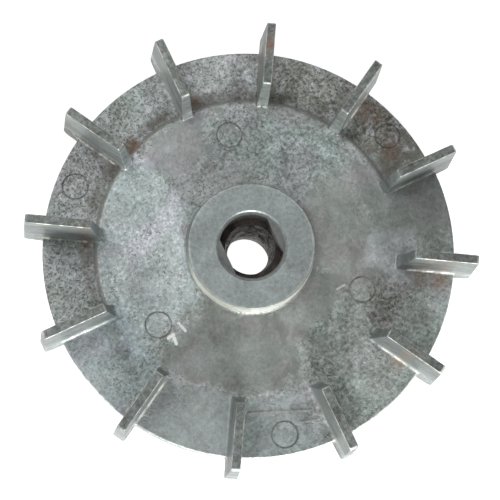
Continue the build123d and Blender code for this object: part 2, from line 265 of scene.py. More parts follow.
    def noise(
        self, size: float, detail: float = 3.0, rough: float = 0.55, swirl: float = 0.0,
        seed: float = 0.0, where: Optional[Socket] = None,
    ) -> Socket:
        """Gives cloudy noise, mostly from 0.3 to 0.7.

        Args:
            size: The size of its largest features.
            detail: How many finer layers it has.
            rough: How strong the finer layers are.
            swirl: How much it is distorted.
            seed: Which of its many patterns it is.
            where: The coordinates, if not the object's own.

        Returns:
            The noise.
        """
        node = self.tree.nodes.new("ShaderNodeTexNoise")
        self.put(node.inputs["Vector"], self.moved(seed, where))
        node.inputs["Scale"].default_value = 1 / size
        node.inputs["Detail"].default_value = detail
        node.inputs["Roughness"].default_value = rough
        node.inputs["Distortion"].default_value = swirl
        return node.outputs["Fac"]

    def ramp(self, value: Socket, *stops: tuple[float, Colour]) -> Socket:
        """Turns a value into a colour through a few stops.

        Args:
            value: The value.
            *stops: Each stop's position and colour, in order.

        Returns:
            The colour.
        """
        node = self.tree.nodes.new("ShaderNodeValToRGB")
        self.put(node.inputs["Fac"], value)
        elements = node.color_ramp.elements
        while len(elements) < len(stops):
            elements.new(0.5)
        for element, (position, colour) in zip(elements, stops):
            element.position = position
            element.color = (*colour, 1.0)
        return node.outputs["Color"]

    def lay(
        self, amount: "Socket | float", under: "Socket | Colour", over: "Socket | Colour",
        how: Blend = Blend.MIX,
    ) -> Socket:
        """Lays one colour over another.

        Args:
            amount: How much of it is laid, 0 to 1.
            under: The colour below.
            over: The colour laid on it.
            how: How the two are put together.

        Returns:
            The colour.
        """
        node = self.tree.nodes.new("ShaderNodeMix")
        node.data_type = "RGBA"
        node.blend_type = how.value
        self.put(node.inputs["Factor"], amount)
        colours = [socket for socket in node.inputs if socket.type == "RGBA"]
        self.put(colours[0], under)
        self.put(colours[1], over)
        return next(socket for socket in node.outputs if socket.type == "RGBA")

    def bump(self, height: Socket, distance: float, under: Optional[Socket] = None) -> Socket:
        """Raises the surface for shading only.

        Args:
            height: The pattern of the relief.
            distance: How high it stands where the pattern is 1.
            under: A relief that it is added to.

        Returns:
            The shading direction.
        """
        node = self.tree.nodes.new("ShaderNodeBump")
        node.inputs["Distance"].default_value = distance * MM
        self.put(node.inputs["Height"], height)
        if under is not None:
            self.put(node.inputs["Normal"], under)
        return node.outputs["Normal"]

    def finish(self, **sockets: "Socket | float | Colour") -> bpy.types.Material:
        """Sets the shader's sockets.

        Args:
            **sockets: Their values or links, each under its name with _ for a space.

        Returns:
            The material.
        """
        for name, value in sockets.items():
            self.put(self.shader.inputs[name.replace("_", " ").title().replace("Ior", "IOR")], value)
        return self.material


@dataclass(frozen=True)
class Stain:
    """A rusty or oily mark on the casting, by its place round the axis.

    Attributes:
        radius: Distance from the axis.
        angle: Angle round the axis, in degrees.
        reach: How far it spreads.
        strength: How dark its middle is, 0 to 1.
    """

    radius: float
    angle: float
    reach: float
    strength: float


@dataclass(frozen=True)
class Nick:
    """A pale scratch through the casting's skin.

    Attributes:
        start: The x and y where it starts.
        end: The x and y where it ends.
        width: How far its edge is from its middle.
        strength: How bare it is, 0 to 1.
    """

    start: tuple[float, float]
    end: tuple[float, float]
    width: float = 0.9
    strength: float = 0.9


@dataclass(frozen=True)
class Mark:
    """The ring that an ejector pin left.

    Attributes:
        radius: From the axis to its middle.
        angle: Its angle round the axis, in degrees.
        size: The ring's own radius.
    """

    radius: float
    angle: float
    size: float = 5.0


@dataclass(frozen=True)
class Patch:
    """A zone of the casting's face with its own tone and speckle.

    Attributes:
        middle: The middle of the zone, in degrees round the axis.
        spread: How many degrees it covers.
        inner: Where it starts, from the axis.
        outer: Where it ends.
        lift: How much paler (or darker, below 0) it is.
        speckle: How strong its speckle is; 1 is the disc's own.
        tint: What its colour is multiplied by.
    """

    middle: float
    spread: float
    inner: float
    outer: float
    lift: float
    speckle: float
    tint: Colour = (1.0, 1.0, 1.0)


@dataclass(frozen=True)
class CastAluminium:
    """Weathered die-cast aluminium: blue-grey and mottled, gritty on the flange, smooth on hub and vanes.

    The sizes repeat the frame's own, because the zones of the finish follow the casting's steps.
    """

    black: Colour = linear(58, 59, 57)
    dark: Colour = linear(104, 107, 103)
    middle: Colour = linear(143, 148, 145)
    pale: Colour = linear(180, 186, 184)
    white: Colour = linear(222, 225, 226)
    lilac: Colour = (1.025, 0.98, 1.02)
    green: Colour = (0.965, 1.005, 0.995)
    pit: Colour = linear(76, 77, 74)
    chalk: Colour = linear(196, 201, 206)
    hub_tone: Colour = linear(134, 142, 141)
    vane_tone: Colour = linear(119, 125, 123)
    turned_tone: Colour = linear(150, 153, 152)
    wear_and_highlight_cream: Colour = linear(226, 226, 214)
    step_tone: Colour = linear(160, 157, 149)
    crest_tone: Colour = linear(98, 102, 99)
    dirt_and_shade: Colour = linear(100, 93, 84)
    socket_black: Colour = linear(66, 61, 57)
    rust: Colour = linear(124, 90, 68)
    roughness: float = 0.46
    metallic: float = 0.5
    rim_radius: float = 80.0
    disc_radius: float = 58.9
    step_foot: float = 60.7
    hub_radius: float = 24.3
    disc_level: float = 36.4
    hub_level: float = 44.1
    flange_level: float = 34.0
    vane_pitch: float = 30.0
    vane_foot_half: float = 2.4
    socket_radius: float = 12.4
    vane_top_level: float = 57.5
    lathe_pitch: float = 0.42
    # The key lamp's direction round the axis, in degrees; the painted highlights lie on that side.
    painted_light_angle: float = 250.0
    # A direction away from the key lamp; the step's dirt is doubled towards it as painted shade.
    shaded_side: tuple[float, float] = (0.41, 0.9)
    stains: tuple[Stain, ...] = (
        Stain(61.7, 112.9, 6.0, 1.0),
        Stain(63.0, 154.0, 5.0, 0.9),
        Stain(73.5, 24.0, 8.0, 0.8),
        Stain(69.4, 11.1, 7.0, 0.8),
        Stain(66.5, 325.7, 5.5, 0.9),
        Stain(74.0, 326.0, 6.0, 0.8),
        Stain(71.6, 297.0, 5.0, 0.6),
        Stain(76.0, 60.0, 6.0, 0.6),
        Stain(64.0, 85.0, 5.0, 0.6),
    )
    nicks: tuple[Nick, ...] = (
        Nick((-43.2, -18.1), (-41.2, -17.5)),
        Nick((-41.0, -17.6), (-41.3, -21.2)),
        Nick((-37.3, -14.4), (-36.1, -18.2), 0.8, 0.75),
        Nick((23.8, -28.3), (27.1, -28.0), 0.6, 0.5),
    )
    marks: tuple[Mark, ...] = (
        Mark(46.0, 75.0), Mark(46.0, 195.0), Mark(46.0, 315.0),
        Mark(72.1, 15.0), Mark(72.1, 135.0), Mark(72.1, 255.0), Mark(55.2, 277.5, 2.4),
    )
    patches: tuple[Patch, ...] = (
        Patch(52.0, 76.0, 29.0, 54.0, 0.0, 1.25, (0.96, 1.01, 1.01)),
        Patch(99.0, 28.0, 40.0, 57.0, -0.05, 0.35, (1.02, 0.98, 1.02)),
        Patch(158.0, 84.0, 25.0, 60.0, 0.17, 1.0, (0.97, 1.0, 1.03)),
        Patch(236.0, 62.0, 24.0, 54.0, -0.13, 0.3, (1.0, 0.995, 0.985)),
        Patch(292.0, 52.0, 40.0, 81.0, -0.04, 1.1, (0.98, 1.005, 0.98)),
        Patch(290.0, 56.0, 24.0, 40.0, -0.07, 0.35, (1.0, 1.0, 0.985)),
        Patch(348.0, 62.0, 24.0, 47.0, -0.05, 0.35, (1.01, 0.995, 0.98)),
        Patch(313.0, 20.0, 50.0, 63.0, -0.12, 1.4, (1.03, 0.98, 0.97)),
        Patch(195.0, 30.0, 55.0, 81.0, 0.04, 0.9, (0.96, 1.0, 1.04)),
        Patch(333.0, 20.0, 44.0, 66.0, 0.14, 0.7, (0.98, 1.0, 1.02)),
        Patch(357.0, 34.0, 48.0, 81.0, -0.08, 0.35),
        Patch(226.0, 28.0, 57.0, 81.0, 0.02, 0.4, (0.97, 1.0, 1.02)),
        Patch(253.0, 26.0, 57.0, 81.0, 0.0, 0.7, (0.97, 1.0, 1.02)),
        Patch(14.0, 26.0, 62.0, 81.0, -0.16, 1.2, (1.05, 1.0, 0.93)),
        Patch(45.0, 26.0, 62.0, 81.0, -0.06, 1.2, (1.03, 1.0, 0.96)),
    )

    def material(self) -> bpy.types.Material:
        """Makes the material.

        Returns:
            The finished material.
        """
        mix = Recipe("cast_aluminium_weathered")
        radius = mix.radius()
        level = mix.part("z")
        grit = mix.noise(1.5, 3, 0.68, 0.4, seed=7.7)
        patches = mix.noise(8.5, 5, 0.6, 0.7, seed=4.1)
        flange = mix.mul(
            mix.fade(radius, self.disc_radius - 1, self.step_foot + 0.5),
            mix.fade(level, self.disc_level - 0.5, self.flange_level + 0.5),
        )
        hub = mix.mul(
            mix.fade(radius, self.hub_radius + 2.5, self.hub_radius + 0.6),
            mix.fade(level, self.disc_level + 0.3, self.disc_level + 1.8),
        )
        vane = mix.mul(
            mix.fade(radius, self.disc_radius - 2.0, self.disc_radius - 0.5),
            mix.fade(level, self.disc_level + 0.4, self.disc_level + 1.6),
        )
        turned = mix.either(
            mix.fade(level, 0.6, 0.3),
            mix.mul(mix.fade(radius, self.rim_radius - 0.5, self.rim_radius - 0.2),
                    mix.fade(level, self.flange_level - 0.4, self.flange_level - 1.2)),
        )

        skin, pits = self.cast_skin(mix, radius, flange, patches, grit)
        skin = mix.lay(mix.mul(hub, 0.9), skin, self.plain_skin(mix, self.hub_tone, patches, grit))
        skin = mix.lay(mix.mul(vane, 0.9), skin, self.vane_skin(mix, radius, level, patches, grit))
        skin = mix.lay(mix.mul(turned, 0.75), skin, self.plain_skin(mix, self.turned_tone, patches, grit))

        skin = mix.lay(self.step_mask(mix, radius, level), skin, self.step_tone)
        # Dirt at the feet of the step, vanes and hub, with painted shade on the step's foot away from the key
        # lamp.
        dirt_and_shade = self.dirt_and_shade_mask(mix, radius, level, grit)
        skin = mix.lay(dirt_and_shade, skin, self.dirt_and_shade)
        # The washer socket's walls and floor are darkened nearly to black.
        skin = mix.lay(self.socket_dark_mask(mix, radius, level, grit), skin, self.socket_black)
        rust = self.rust_mask(mix, patches)
        skin = mix.lay(rust, skin, self.rust)
        skin = mix.lay(self.ring_mask(mix, level, patches), skin, self.pit)
        # Rubbed edges in cream, with painted highlights on the hub wall and the vane feet on the key lamp's
        # side.
        skin = mix.lay(self.wear_and_highlight_mask(mix, radius, level), skin, self.wear_and_highlight_cream)
        skin = mix.lay(self.nick_mask(mix, level, grit), skin, self.white)

        calm = mix.either(hub, vane, turned)
        run = mix.mul(mix.add(level, radius), math.tau / self.lathe_pitch)
        lathe = mix.mul(mix.math("SINE", run), turned)
        height = mix.mul(
            mix.add(mix.mul(grit, mix.scale(flange, 0.5, 1.0)), mix.mul(patches, 0.8), mix.mul(pits, -0.7)),
            mix.scale(calm, 1.0, 0.35),
        )
        height = mix.add(height, mix.mul(lathe, 0.06))
        grime = mix.either(dirt_and_shade, rust)
        rough = mix.add(mix.scale(patches, self.roughness - 0.1, self.roughness + 0.18), mix.mul(grime, 0.25))
        return mix.finish(
            base_color=skin,
            metallic=mix.scale(grime, self.metallic, 0.0),
            roughness=rough,
            normal=mix.bump(height, 0.3),
        )

    def step_mask(self, mix: Recipe, radius: Socket, level: Socket) -> Socket:
        """Finds the paler slope of the step and the raised lines on the counterweight.

        Args:
            mix: The material being made.
            radius: The distance from the axis.
            level: The height above the open edge.

        Returns:
            The amount of the pale tone, 0 to 1.
        """
        slope = mix.mul(
            mix.fade(level, self.disc_level - 0.1, self.disc_level - 0.5),
            mix.fade(level, self.flange_level + 0.1, self.flange_level + 0.7),
            mix.fade(radius, self.step_foot + 1.5, self.step_foot),
        )
        ridge = mix.mul(
            mix.fade(level, self.disc_level + 0.1, self.disc_level + 0.2),
            mix.fade(level, self.disc_level + 0.5, self.disc_level + 0.3),
            mix.fade(mix.facing("z"), 0.9, 0.97),
            mix.fade(radius, self.disc_radius - 2, self.disc_radius),
        )
        worn = mix.scale(mix.fade(mix.noise(4, 3, 0.6, 0.4, seed=6.7), 0.4, 0.6), 0.3, 0.85)
        return mix.mul(mix.either(slope, ridge), worn)

    def ring_mask(self, mix: Recipe, level: Socket, patches: Socket) -> Socket:
        """Darkens the groove round each ejector mark.

        Args:
            mix: The material being made.
            level: The height above the open edge.
            patches: Middle-sized noise that breaks the rings up.

        Returns:
            How much the groove is darkened, 0 to 1.
        """
        rings = [
            mix.fade(mix.apart(mix.gap(self.spot(mark)), mark.size), 0.75, 0.1) for mark in self.marks
        ]
        front = mix.fade(level, self.flange_level - 1.5, self.flange_level - 0.7)
        face = mix.fade(level, self.disc_level + 0.4, self.disc_level + 0.2)
        torn = mix.scale(mix.fade(patches, 0.42, 0.58), 0.08, 0.5)
        return mix.mul(mix.either(*rings), front, face, torn)

    def nick_mask(self, mix: Recipe, level: Socket, grit: Socket) -> Socket:
        """Draws the pale scratches on the disc.

        Args:
            mix: The material being made.
            level: The height above the open edge.
            grit: Fine noise that roughens them.

        Returns:
            The amount of bare metal, 0 to 1.
        """
        cuts = [
            mix.mul(mix.fade(mix.stroke(nick.start, nick.end), nick.width, nick.width * 0.4), nick.strength)
            for nick in self.nicks
        ]
        front = mix.fade(level, self.disc_level - 1, self.disc_level - 0.5)
        return mix.mul(mix.either(*cuts), front, mix.scale(grit, 0.6, 1.3))

    def cast_skin(
        self, mix: Recipe, radius: Socket, flange: Socket, patches: Socket, grit: Socket
    ) -> tuple[Socket, Socket]:
        """Mottles the disc and the flange, with pits and chalky blotches.

        Args:
            mix: The material being made.
            radius: The distance from the axis.
            flange: Where the gritty flange is.
            patches: Middle-sized noise.
            grit: Fine noise.

        Returns:
            The colour, and where the pits are.
        """
        clouds = mix.noise(27, 3, 0.55, 0.5, seed=1.3)
        ragged = mix.centred(mix.noise(12, 4, 0.6, 0.6, seed=9.0))
        lift, speckle, zones = 0.0, 1.0, []
        for patch in self.patches:
            where = self.zone_mask(mix, radius, ragged, patch)
            lift = mix.add(lift, mix.mul(where, patch.lift))
            speckle = mix.mul(speckle, mix.scale(where, 1.0, patch.speckle))
            zones.append((where, patch.tint))
        tone = mix.add(
            mix.mul(mix.centred(clouds), 0.4),
            mix.mul(mix.centred(patches), mix.scale(speckle, 0.3, 0.8)),
            mix.mul(mix.centred(grit), mix.scale(flange, 1.05, 1.3), speckle),
            lift,
            mix.scale(flange, 0.53, 0.56),
        )
        skin = mix.ramp(
            tone,
            (0.0, self.black), (0.25, self.dark), (0.5, self.middle), (0.78, self.pale), (1.0, self.white),
        )
        for tint, seed in ((self.lilac, 6.4), (self.green, 8.8)):
            where = mix.fade(mix.noise(17, 3, 0.5, 0.8, seed=seed), 0.46, 0.6)
            skin = mix.lay(where, skin, mix.lay(1.0, skin, tint, Blend.MULTIPLY))
        for where, tint in zones:
            skin = mix.lay(where, skin, mix.lay(1.0, skin, tint, Blend.MULTIPLY))

        blotch = mix.mul(mix.fade(mix.noise(5.5, 4, 0.7, 0.4, seed=2.2), 0.54, 0.66), flange)
        skin = mix.lay(mix.mul(blotch, mix.scale(grit, 0.0, 1.2)), skin, self.chalk)

        gathered = mix.fade(mix.noise(13, 3, 0.6, 0.5, seed=3.6), 0.4, 0.62)
        face = mix.fade(mix.part("z"), self.flange_level - 3, self.flange_level - 1)
        crowd = mix.mul(
            mix.either(mix.mul(flange, 0.8), mix.mul(gathered, 0.75), 0.3),
            speckle,
            mix.scale(face, 0.12, 1.0),
        )
        dots = mix.fade(mix.noise(0.85, 1, 0.5, seed=5.1), 0.41, 0.33)
        pits = mix.mul(dots, crowd)
        return mix.lay(mix.mul(pits, 0.6), skin, self.pit), pits

    @staticmethod
    def spot(mark: "Mark | Stain") -> tuple[float, float]:
        """Gives a mark's x and y from its place round the axis."""
        turn = math.radians(mark.angle)
        return math.cos(turn) * mark.radius, math.sin(turn) * mark.radius

    def vane_skin(self, mix: Recipe, radius: Socket, level: Socket, patches: Socket, grit: Socket) -> Socket:
        """Streaks the vanes' sides along their length and darkens their tops.

        Args:
            mix: The material being made.
            radius: The distance from the axis.
            level: The height above the open edge.
            patches: Middle-sized noise.
            grit: Fine noise.

        Returns:
            The colour.
        """
        along = mix.vector(mix.mul(radius, 0.09), mix.mul(mix.angle(), 9.0), mix.mul(level, 0.55))
        streaks = mix.noise(1.0, 4, 0.6, 0.3, seed=4.4, where=along)
        shade = mix.add(mix.mul(streaks, 0.6), mix.mul(grit, 0.2), mix.mul(patches, 0.2))
        darker = tuple(0.6 * channel for channel in self.vane_tone)
        paler = tuple(min(1.0, 1.45 * channel) for channel in self.vane_tone)
        sides = mix.ramp(shade, (0.36, darker), (0.5, self.vane_tone), (0.64, paler))
        low = mix.fade(level, self.disc_level + 6.0, self.disc_level + 1.0)
        sides = mix.lay(mix.mul(low, mix.scale(streaks, 0.0, 0.7)), sides, self.chalk)
        crest = mix.mul(
            mix.fade(mix.facing("z"), 0.9, 0.98),
            mix.fade(level, self.vane_top_level - 1, self.vane_top_level - 0.3),
        )
        grimy = mix.ramp(
            mix.add(mix.mul(grit, 0.6), mix.mul(patches, 0.4)),
            (0.36, self.black), (0.5, self.crest_tone), (0.66, self.middle),
        )
        return mix.lay(mix.mul(crest, 0.85), sides, grimy)

    def zone_mask(self, mix: Recipe, radius: Socket, ragged: Socket, patch: Patch) -> Socket:
        """Finds one patch of the face, with a ragged outline.

        Args:
            mix: The material being made.
            radius: The distance from the axis.
            ragged: Noise about 0 that tears the outline.
            patch: The patch.

        Returns:
            Where the patch is, 0 to 1.
        """
        turned = mix.math("SUBTRACT", mix.angle(), math.radians(patch.middle))
        off = mix.math("ABSOLUTE", mix.math("WRAP", turned, math.pi, -math.pi))
        arc = mix.add(mix.mul(off, radius), mix.mul(ragged, 22))
        half = mix.mul(radius, math.radians(patch.spread / 2))
        out = mix.add(radius, mix.mul(ragged, -18))
        return mix.mul(
            mix.fade(mix.math("SUBTRACT", arc, half), 1.5, -1.5),
            mix.fade(out, patch.inner - 1.5, patch.inner + 1.5),
            mix.fade(out, patch.outer + 1.5, patch.outer - 1.5),
        )

    def plain_skin(self, mix: Recipe, tone: Colour, patches: Socket, grit: Socket) -> Socket:
        """Gives a smooth skin in one tone, barely mottled.

        Args:
            mix: The material being made.
            tone: The skin's mean colour.
            patches: Middle-sized noise.
            grit: Fine noise.

        Returns:
            The colour.
        """
        shade = mix.add(mix.mul(patches, 0.5), mix.mul(grit, 0.5))
        darker = tuple(0.55 * channel for channel in tone)
        paler = tuple(min(1.0, 1.5 * channel) for channel in tone)
        return mix.ramp(shade, (0.25, darker), (0.5, tone), (0.75, paler))

    def dirt_and_shade_mask(self, mix: Recipe, radius: Socket, level: Socket, grit: Socket) -> Socket:
        """Finds where dirt settles: the step's foot, the vanes' feet and the hub's foot, with painted shade
        on the step's foot away from the key lamp.

        Args:
            mix: The material being made.
            radius: The distance from the axis.
            level: The height above the open edge.
            grit: Fine noise that breaks the dirt up.

        Returns:
            The amount of dirt and painted shade, 0 to 1.
        """
        patchy = mix.fade(mix.noise(10, 4, 0.6, 0.6, seed=5.5), 0.42, 0.66)
        step = mix.mul(
            mix.fade(mix.apart(radius, self.step_foot + 1.8), 4.2, 0.4),
            mix.fade(level, self.disc_level - 0.6, self.flange_level + 0.6),
        )
        pitch = math.radians(self.vane_pitch)
        folded = mix.math("WRAP", mix.angle(), pitch / 2, -pitch / 2)
        across = mix.math("ABSOLUTE", mix.mul(mix.math("SINE", folded), radius))
        beside = mix.fade(across, self.vane_foot_half + 3.5, self.vane_foot_half + 0.6)
        along = mix.fade(radius, self.step_foot - 1.0, self.step_foot + 1.5)
        low = mix.fade(level, self.flange_level + 2.2, self.flange_level + 0.4)
        feet = mix.mul(beside, along, low)
        gap = mix.apart(radius, self.hub_radius + 1.6)
        hub = mix.mul(mix.fade(gap, 1.6, 0.2), mix.fade(level, self.disc_level + 1.5, self.disc_level + 0.2))
        # The step's dirt is twice as strong towards +Y, away from the key lamp: painted shade laid on the
        # dirt.
        height = mix.add(*[mix.mul(mix.part(axis), share) for axis, share in zip("xy", self.shaded_side)])
        shaded_side = mix.fade(height, -45, 45)
        gathered = mix.either(mix.mul(step, mix.scale(shaded_side, 0.5, 1.0)), mix.mul(feet, 0.7), mix.mul(hub, 0.3))
        return mix.mul(gathered, mix.scale(patchy, 0.15, 0.9), mix.scale(mix.fade(grit, 0.35, 0.6), 0.5, 1.0))

    def socket_dark_mask(self, mix: Recipe, radius: Socket, level: Socket, grit: Socket) -> Socket:
        """Finds the washer socket's walls and floor, which are darkened nearly to black.

        Args:
            mix: The material being made.
            radius: The distance from the axis.
            level: The height above the open edge.
            grit: Fine noise.

        Returns:
            How much of the near-black is laid on.
        """
        socket = mix.mul(
            mix.fade(radius, self.socket_radius + 0.7, self.socket_radius + 0.2),
            mix.fade(level, self.hub_level - 1.2, self.hub_level - 1.9),
        )
        return mix.mul(socket, mix.scale(grit, 0.75, 1.05))

    def rust_mask(self, mix: Recipe, patches: Socket) -> Socket:
        """Lays the known stains and breaks their edges up.

        Args:
            mix: The material being made.
            patches: Middle-sized noise.

        Returns:
            The amount of rust.
        """
        spots = []
        for stain in self.stains:
            gap = mix.gap(self.spot(stain))
            spots.append(mix.mul(mix.fade(gap, stain.reach, 0.0), stain.strength))
        torn = mix.fade(mix.noise(2.4, 4, 0.65, 0.5, seed=8.2), 0.34, 0.6)
        return mix.mul(mix.either(*spots), torn, mix.scale(patches, 0.6, 1.4))

    def wear_and_highlight_mask(self, mix: Recipe, radius: Socket, level: Socket) -> Socket:
        """Finds the rubbed, brighter metal of the vanes' rounds and the hub's rim and mouth, and adds painted
        highlights.

        The hub's wall and the vanes' foot rounds get a painted highlight, only on the side towards the key
        lamp.

        Args:
            mix: The material being made.
            radius: The distance from the axis.
            level: The height above the open edge.

        Returns:
            The amount of rubbed metal and painted highlight, 0 to 1.
        """
        up = mix.facing("z")
        tilt = mix.math("MULTIPLY", mix.fade(up, 0.15, 0.35), mix.fade(up, 0.97, 0.85))
        worn = mix.fade(mix.noise(4.0, 3, 0.6, seed=2.9), 0.42, 0.6)
        high = mix.fade(level, self.flange_level + 9, self.flange_level + 12)
        vanes = mix.mul(tilt, mix.fade(radius, self.step_foot - 2, self.step_foot), high)
        edge = mix.apart(radius, self.hub_radius - 0.5)
        rim = mix.mul(mix.fade(edge, 0.7, 0.2), mix.fade(level, self.hub_level - 1.0, self.hub_level - 0.3))
        mouth = mix.mul(
            mix.fade(mix.apart(radius, self.socket_radius + 0.4), 1.0, 0.3),
            mix.fade(level, self.hub_level - 2.4, self.hub_level - 1.2),
            tilt,
        )
        # Painted highlight: the hub's wall is lightened on the key lamp's side only.
        painted_light_turn = math.radians(self.painted_light_angle)
        side = mix.fade(mix.math("COSINE", mix.math("SUBTRACT", mix.angle(), painted_light_turn)), -0.1, 0.5)
        painted_wall_highlight = mix.mul(
            mix.fade(mix.apart(radius, self.hub_radius + 0.5), 0.8, 0.5),
            mix.fade(level, self.disc_level + 0.4, self.disc_level + 1.4),
            mix.fade(level, self.hub_level - 0.2, self.hub_level - 0.9),
            side,
        )
        # Painted highlight: the vanes' foot rounds are lightened where they face the key lamp.
        shares = (math.cos(painted_light_turn), math.sin(painted_light_turn))
        turned = [mix.mul(mix.facing(axis), share) for axis, share in zip("xy", shares)]
        painted_foot_highlight = mix.mul(
            tilt,
            mix.fade(mix.add(*turned), 0.1, 0.4),
            mix.fade(radius, self.step_foot, self.step_foot + 2),
            mix.fade(level, self.disc_level + 1.6, self.disc_level + 0.9),
        )
        return mix.either(
            mix.mul(mix.either(vanes, mix.mul(rim, 0.35), mix.mul(mouth, 0.6)), mix.scale(worn, 0.1, 0.6)),
            mix.mul(painted_foot_highlight, mix.scale(worn, 0.1, 0.8)),
            mix.mul(painted_wall_highlight, mix.scale(worn, 0.75, 0.95)),
        )


@dataclass(frozen=True)
class Steel:
    """Steel with turned rings or plain grain, and as much rust as asked.

    Attributes:
        name: The material's name.
        bare: The clean metal's colour.
        tarnish: The darker film on it.
        rusty: The colour of its rust.
        seam: The colour between its sheets.
        rust_share: How much of it is rusty, 0 to 1.
        roughness: Its mean roughness.
        ring_pitch: The spacing of the turning marks, or 0 for none.
        sheet_pitch: The thickness of its stacked sheets, or 0 for solid steel.
        grain: The size of its surface grain.
    """

    name: str
    bare: Colour
    tarnish: Colour
    rusty: Colour = linear(96, 62, 42)
    seam: Colour = linear(40, 34, 30)
    rust_share: float = 0.3
    roughness: float = 0.4
    ring_pitch: float = 0.0
    sheet_pitch: float = 0.0
    grain: float = 1.2

    def material(self) -> bpy.types.Material:
        """Makes the material.

        Returns:
            The finished material.
        """
        mix = Recipe(self.name)
        film = mix.noise(6, 4, 0.6, 0.4, seed=2.0)
        grit = mix.noise(self.grain, 3, 0.65, seed=5.0)
        colour = mix.lay(mix.fade(film, 0.35, 0.65), self.bare, self.tarnish)
        patches = mix.noise(3.5, 5, 0.65, 0.7, seed=6.0)
        spread = 0.62 - 0.3 * self.rust_share
        rust = mix.fade(mix.add(mix.mul(patches, 0.75), mix.mul(grit, 0.25)), spread, spread + 0.1)
        colour = mix.lay(mix.mul(rust, 0.9), colour, self.rusty)
        height = mix.add(mix.mul(grit, 0.5), mix.mul(rust, 0.6))
        if self.ring_pitch:
            run = mix.add(mix.radius(), mix.part("z"))
            rings = mix.math("SINE", mix.mul(run, math.tau / self.ring_pitch))
            height = mix.add(height, mix.mul(rings, 0.25))
        if self.sheet_pitch:
            stack = mix.math("SINE", mix.mul(mix.part("z"), math.tau / self.sheet_pitch))
            joint = mix.fade(stack, 0.55, 0.95)
            colour = mix.lay(mix.mul(joint, 0.6), colour, self.seam)
            height = mix.add(height, mix.mul(joint, -1.2))
        return mix.finish(
            base_color=colour,
            metallic=mix.scale(rust, 0.9, 0.1),
            roughness=mix.add(
                mix.scale(film, self.roughness - 0.08, self.roughness + 0.1), mix.mul(rust, 0.35)
            ),
            normal=mix.bump(height, 0.12),
        )


@dataclass(frozen=True)
class Ferrite:
    """Dark sintered magnet with a fine grain and paler dusty patches."""

    body: Colour = linear(48, 49, 52)
    dusty: Colour = linear(84, 80, 74)
    roughness: float = 0.62

    def material(self) -> bpy.types.Material:
        """Makes the material.

        Returns:
            The finished material.
        """
        mix = Recipe("sintered_magnet")
        dust = mix.fade(mix.noise(7, 5, 0.65, 0.5, seed=3.0), 0.42, 0.7)
        grain = mix.noise(0.7, 3, 0.6, seed=1.0)
        colour = mix.lay(mix.mul(dust, 0.7), self.body, self.dusty)
        return mix.finish(
            base_color=colour,
            metallic=0.15,
            roughness=mix.scale(grain, self.roughness - 0.15, self.roughness + 0.2),
            normal=mix.bump(grain, 0.12),
        )


def give(material: bpy.types.Material, *names: str) -> None:
    """Puts a material in every slot of the CAD nodes named.

    Args:
        material: The finish.
        *names: The nodes.
    """
    for name in names:
        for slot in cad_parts[name].material_slots:
            slot.material = material


def numbered(stem: str) -> list[str]:
    """Lists the CAD nodes named stem_1, stem_2 and so on."""
    return sorted(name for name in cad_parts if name.startswith(stem + "_"))


@dataclass
class FanCasting:
    """The aluminium casting: disc, skirt, hub and twelve vanes."""

    finish: CastAluminium = field(default_factory=CastAluminium)

    def build(self) -> None:
        """Dresses the casting."""
        give(self.finish.material(), "fan_casting")
        log.info("fan casting dressed")


@dataclass
class HubBush:
    """The steel bush cast into the hub, with its taper and keyway."""

    finish: Steel = field(
        default_factory=lambda: Steel(
            "bush_steel_rusty", bare=linear(78, 73, 69), tarnish=linear(52, 48, 45),
            rusty=linear(60, 50, 43), rust_share=0.5, roughness=0.42, ring_pitch=0.35, grain=0.8,
        )
    )

    def build(self) -> None:
        """Dresses the bush."""
        give(self.finish.material(), "hub_bush")
        log.info("hub bush dressed")


@dataclass
class MagnetRing:
    """The return ring in the skirt, its magnets, pole shoes and screws."""

    ring_finish: Steel = field(
        default_factory=lambda: Steel(
            "ring_steel_rusty", bare=linear(128, 124, 118), tarnish=linear(88, 82, 76), rust_share=0.55,
        )
    )
    shoe_finish: Steel = field(
        default_factory=lambda: Steel(
            "lamination_steel_rusty", bare=linear(132, 130, 128), tarnish=linear(92, 88, 84), rust_share=0.35,
            sheet_pitch=0.9,
        )
    )
    screw_finish: Steel = field(
        default_factory=lambda: Steel(
            "screw_steel_dull", bare=linear(150, 148, 142), tarnish=linear(104, 100, 94), rust_share=0.25,
            roughness=0.35,
        )
    )
    magnet_finish: Ferrite = field(default_factory=Ferrite)

    def build(self) -> None:
        """Dresses the ring and all that it carries."""
        give(self.ring_finish.material(), "return_ring")
        give(self.magnet_finish.material(), *numbered("magnet"))
        give(self.shoe_finish.material(), *numbered("pole_shoe"))
        give(self.screw_finish.material(), *numbered("pole_screw"))
        log.info("magnet ring dressed")


@dataclass
class PointsCam:
    """The hardened cam ring behind the hub and its two screws."""

    cam_finish: Steel = field(
        default_factory=lambda: Steel(
            "cam_steel_ground", bare=linear(150, 148, 144), tarnish=linear(106, 100, 92), rust_share=0.2,
            roughness=0.3,
        )
    )
    screw_finish: Steel = field(
        default_factory=lambda: Steel(
            "cam_screw_steel", bare=linear(146, 144, 138), tarnish=linear(100, 96, 90), rust_share=0.2,
            roughness=0.34,
        )
    )

    def build(self) -> None:
        """Dresses the cam and its screws."""
        give(self.cam_finish.material(), "points_cam")
        give(self.screw_finish.material(), *numbered("cam_screw"))
        log.info("points cam dressed")


@dataclass(frozen=True)
class Lamp:
    """One square soft light that faces the wheel.

    Attributes:
        name: The lamp's name.
        azimuth: Its direction round the axis, in degrees.
        elevation: Its height above the floor, in degrees.
        distance: How far it is from the wheel.
        size: Its side.
        watts: Its power.
    """

    name: str
    azimuth: float
    elevation: float
    distance: float
    size: float
    watts: float


